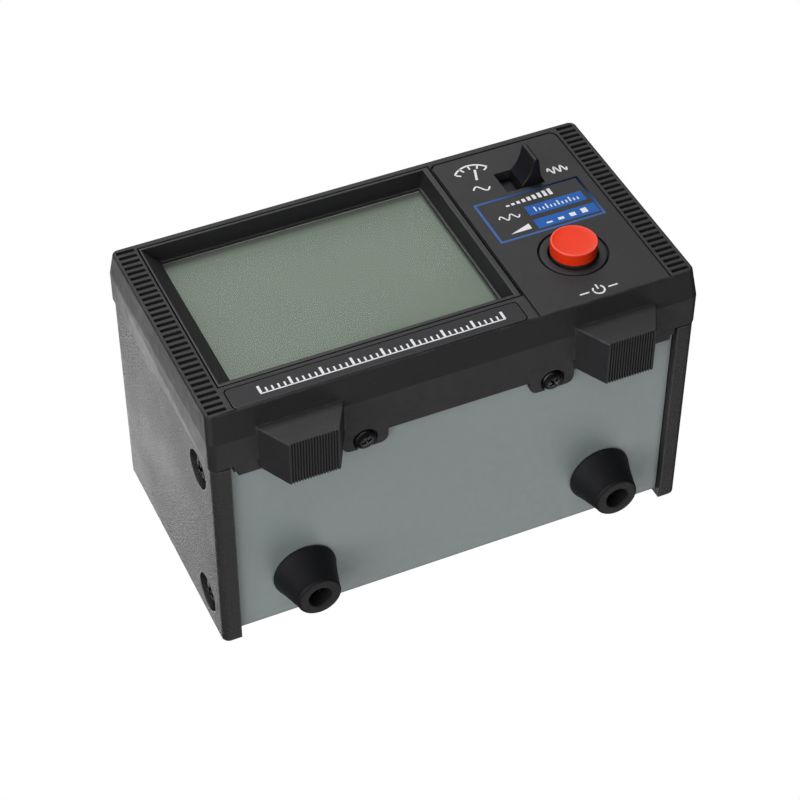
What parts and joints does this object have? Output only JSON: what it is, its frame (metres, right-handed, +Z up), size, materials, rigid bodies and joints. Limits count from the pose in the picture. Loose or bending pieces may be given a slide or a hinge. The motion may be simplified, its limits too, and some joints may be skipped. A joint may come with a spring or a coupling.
{
  "type": "swr meter",
  "caption": "Desktop SWR and power meter: black moulded front with a display window, push button and slide switch, textured cover, grey chassis on feet, coaxial sockets at the back.",
  "frame": {"origin": "middle of the outer box in X and Y, on the plane of the four feet's undersides", "axes": "+X to the meter's right, +Y to its back (the sockets), +Z up; the front face looks along -Y"},
  "size_m": [0.1206, 0.0926, 0.0726],
  "materials": {
    "bezel_plastic": "satin moulded",
    "window_clear": "clear acrylic",
    "lcd_glass": "reflective grey-green",
    "white_plastic": "moulded",
    "elastomer": "soft",
    "circuit_board": "solder mask",
    "chip_black": "moulded",
    "tin_plate": "tinned",
    "capacitor_sleeve": "sleeve",
    "zinc_steel": "zinc plated",
    "red_plastic": "satin moulded",
    "black_plastic": "moulded",
    "cover_textured": "fine wrinkle texture",
    "grey_paint": "satin blue grey",
    "black_steel": "black oxide",
    "black_rubber": "moulded",
    "nickel_plate": "nickel plated",
    "ptfe": "waxy",
    "gold_brass": "plated",
    "copper": "bare copper",
    "ferrite": "sintered",
    "grey_lead": "insulated",
    "red_lead": "insulated"
  },
  "bodies": {
    "case": {"front_bezel": "bezel_plastic", "display_frame": "bezel_plastic", "display_window": "window_clear", "nameplate": "bezel_plastic", "lcd_panel": "lcd_glass", "lcd_holder": "white_plastic", "lcd_contact_strips": "elastomer", "main_board": "circuit_board", "microcontroller": "chip_black", "crystal": "tin_plate", "voltage_regulator": "chip_black", "capacitors": "capacitor_sleeve", "board_headers": "white_plastic", "board_screws": "zinc_steel", "button_collar": "bezel_plastic", "power_switch_body": "chip_black", "band_switch_body": "tin_plate", "cover": "cover_textured", "chassis": "grey_paint", "bezel_screws": "black_steel", "cover_screws": "black_steel", "rubber_feet": "black_rubber", "rubber_foot_screws": "zinc_steel", "rubber_foot_nuts": "zinc_steel", "socket_shells": "nickel_plate", "socket_insulators": "ptfe", "socket_contacts": "gold_brass", "socket_screws": "zinc_steel", "hf_coupler_box": "tin_plate", "hf_coupler_lid": "tin_plate", "hf_line_rod": "copper", "hf_toroid": "ferrite", "hf_detector_board": "circuit_board", "vhf_coupler_box": "tin_plate", "vhf_coupler_lid": "tin_plate", "vhf_line": "copper", "vhf_pickup_board": "circuit_board", "coupler_lid_screws": "zinc_steel", "dc_inlet": "black_plastic", "dc_inlet_pin": "nickel_plate", "dc_inlet_nut": "nickel_plate", "hf_lead": "grey_lead", "vhf_lead": "grey_lead", "dc_lead": "red_lead"},
    "button": {"power_button": "red_plastic", "switch_plunger": "white_plastic"},
    "selector": {"band_switch_lever": "black_plastic", "band_switch_slider": "white_plastic"}
  },
  "joints": [
    {"name": "power_button_push", "type": "slide", "parent": "case", "child": "button", "axis": [0, 1, 0], "range_m": [0, 0.0025], "stiffness_N_per_m": 400, "springref_m": -0.001},
    {"name": "band_switch_slide", "type": "slide", "parent": "case", "child": "selector", "axis": [-1, 0, 0], "range_m": [0, 0.0038]}
  ]
}
